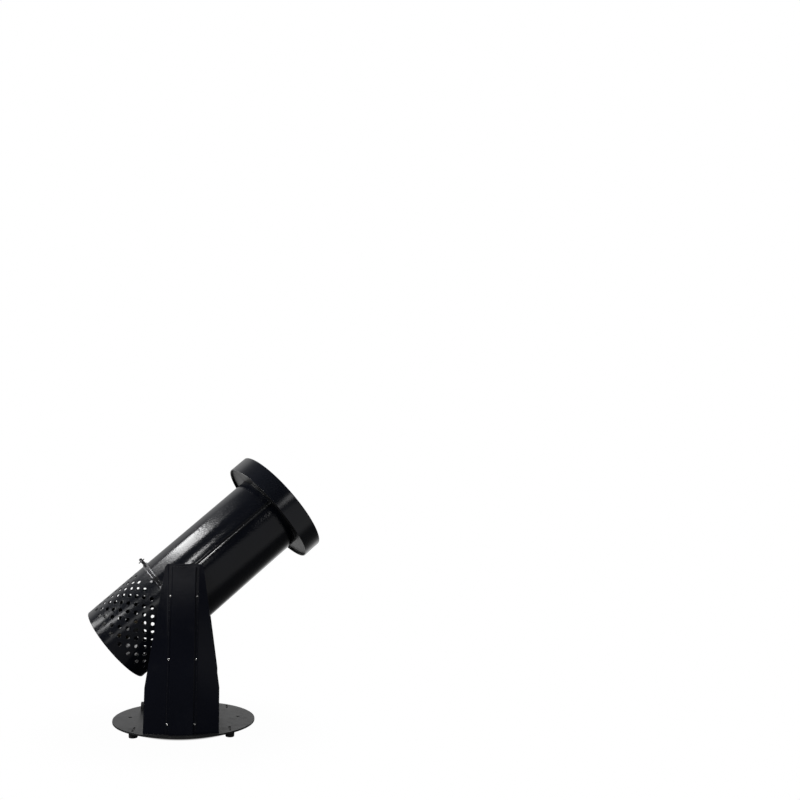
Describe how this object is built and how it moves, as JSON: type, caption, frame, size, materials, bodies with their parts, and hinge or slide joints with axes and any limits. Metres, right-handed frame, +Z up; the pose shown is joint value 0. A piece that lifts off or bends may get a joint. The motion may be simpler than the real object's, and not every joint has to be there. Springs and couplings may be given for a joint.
{
  "type": "confetti blower",
  "caption": "Confetti blower: a plain barrel with a perforated intake drum and a wide muzzle ring, tilting between two uprights on a round base.",
  "frame": {"origin": "centre of the base plate's underside", "axes": "+Z up, +X towards the muzzle, Y along the tilt axis, with the knob on the +Y side"},
  "size_m": [0.5642, 0.3502, 0.6503],
  "materials": {
    "paint_gloss": "gloss black powder coat with a light orange peel",
    "paint_satin": "satin black powder coat",
    "steel_bright": "bright",
    "steel_zinc": "zinc plated",
    "brass": "machined",
    "rubber": "matte",
    "plastic": "moulded, slightly glossy"
  },
  "bodies": {
    "stand": {"base_plate": "paint_satin", "foot_front_near": "rubber", "foot_front_far": "rubber", "foot_rear_near": "rubber", "foot_rear_far": "rubber", "hose_clip": "plastic", "base_screw_1": "steel_zinc", "base_screw_2": "steel_zinc", "base_screw_3": "steel_zinc", "base_screw_4": "steel_zinc", "upright_near": "paint_gloss", "channel_near": "paint_gloss", "rivet_near_1": "steel_bright", "rivet_near_2": "steel_bright", "rivet_near_3": "steel_bright", "rivet_near_4": "steel_bright", "rivet_near_5": "steel_bright", "rivet_near_6": "steel_bright", "foot_angle_near": "paint_gloss", "pivot_bush_near": "plastic", "upright_far": "paint_gloss", "channel_far": "paint_gloss", "rivet_far_1": "steel_bright", "rivet_far_2": "steel_bright", "rivet_far_3": "steel_bright", "rivet_far_4": "steel_bright", "rivet_far_5": "steel_bright", "rivet_far_6": "steel_bright", "foot_angle_far": "paint_gloss", "pivot_bush_far": "plastic", "knob_spacer": "steel_zinc"},
    "barrel": {"barrel_tube": "paint_gloss", "barrel_seam": "paint_gloss", "muzzle_ring": "paint_gloss", "muzzle_back_plate": "paint_gloss", "intake_drum": "paint_gloss", "joint_sleeve": "steel_zinc", "drum_screw_1": "steel_zinc", "drum_screw_2": "steel_zinc", "drum_screw_3": "steel_zinc", "confetti_screen": "steel_zinc", "clamp_band": "steel_bright", "clamp_bolt": "steel_zinc", "intake_end_cap": "paint_gloss", "gas_inlet": "brass", "inlet_seal": "rubber", "inlet_locknut": "brass", "nozzle_pipe": "steel_zinc", "nozzle_tip": "brass", "pivot_saddle_near": "paint_gloss", "pivot_washer_near": "steel_zinc", "pivot_screw_near": "steel_zinc", "pivot_saddle_far": "paint_gloss", "knob_washer": "steel_zinc"},
    "tilt_knob": {"tilt_knob": "plastic"},
    "clamp_wing_nut": {"clamp_wing_nut": "plastic"}
  },
  "joints": [
    {"name": "barrel_tilt", "type": "hinge", "parent": "stand", "child": "barrel", "pos_m": [0, 0, 0.3225], "axis": [0, -1, 0], "range_deg": [-61.5, 48.5]},
    {"name": "tilt_knob_turn", "type": "hinge", "parent": "barrel", "child": "tilt_knob", "pos_m": [0, 0.17, 0.3225], "axis": [0, 1, 0], "range_deg": [0, 270]},
    {"name": "wing_nut_turn", "type": "hinge", "parent": "barrel", "child": "clamp_wing_nut", "pos_m": [-0.11173, -0.01969, 0.37269], "axis": [0.1184, -0.9848, -0.127], "range_deg": [0, 270]}
  ]
}
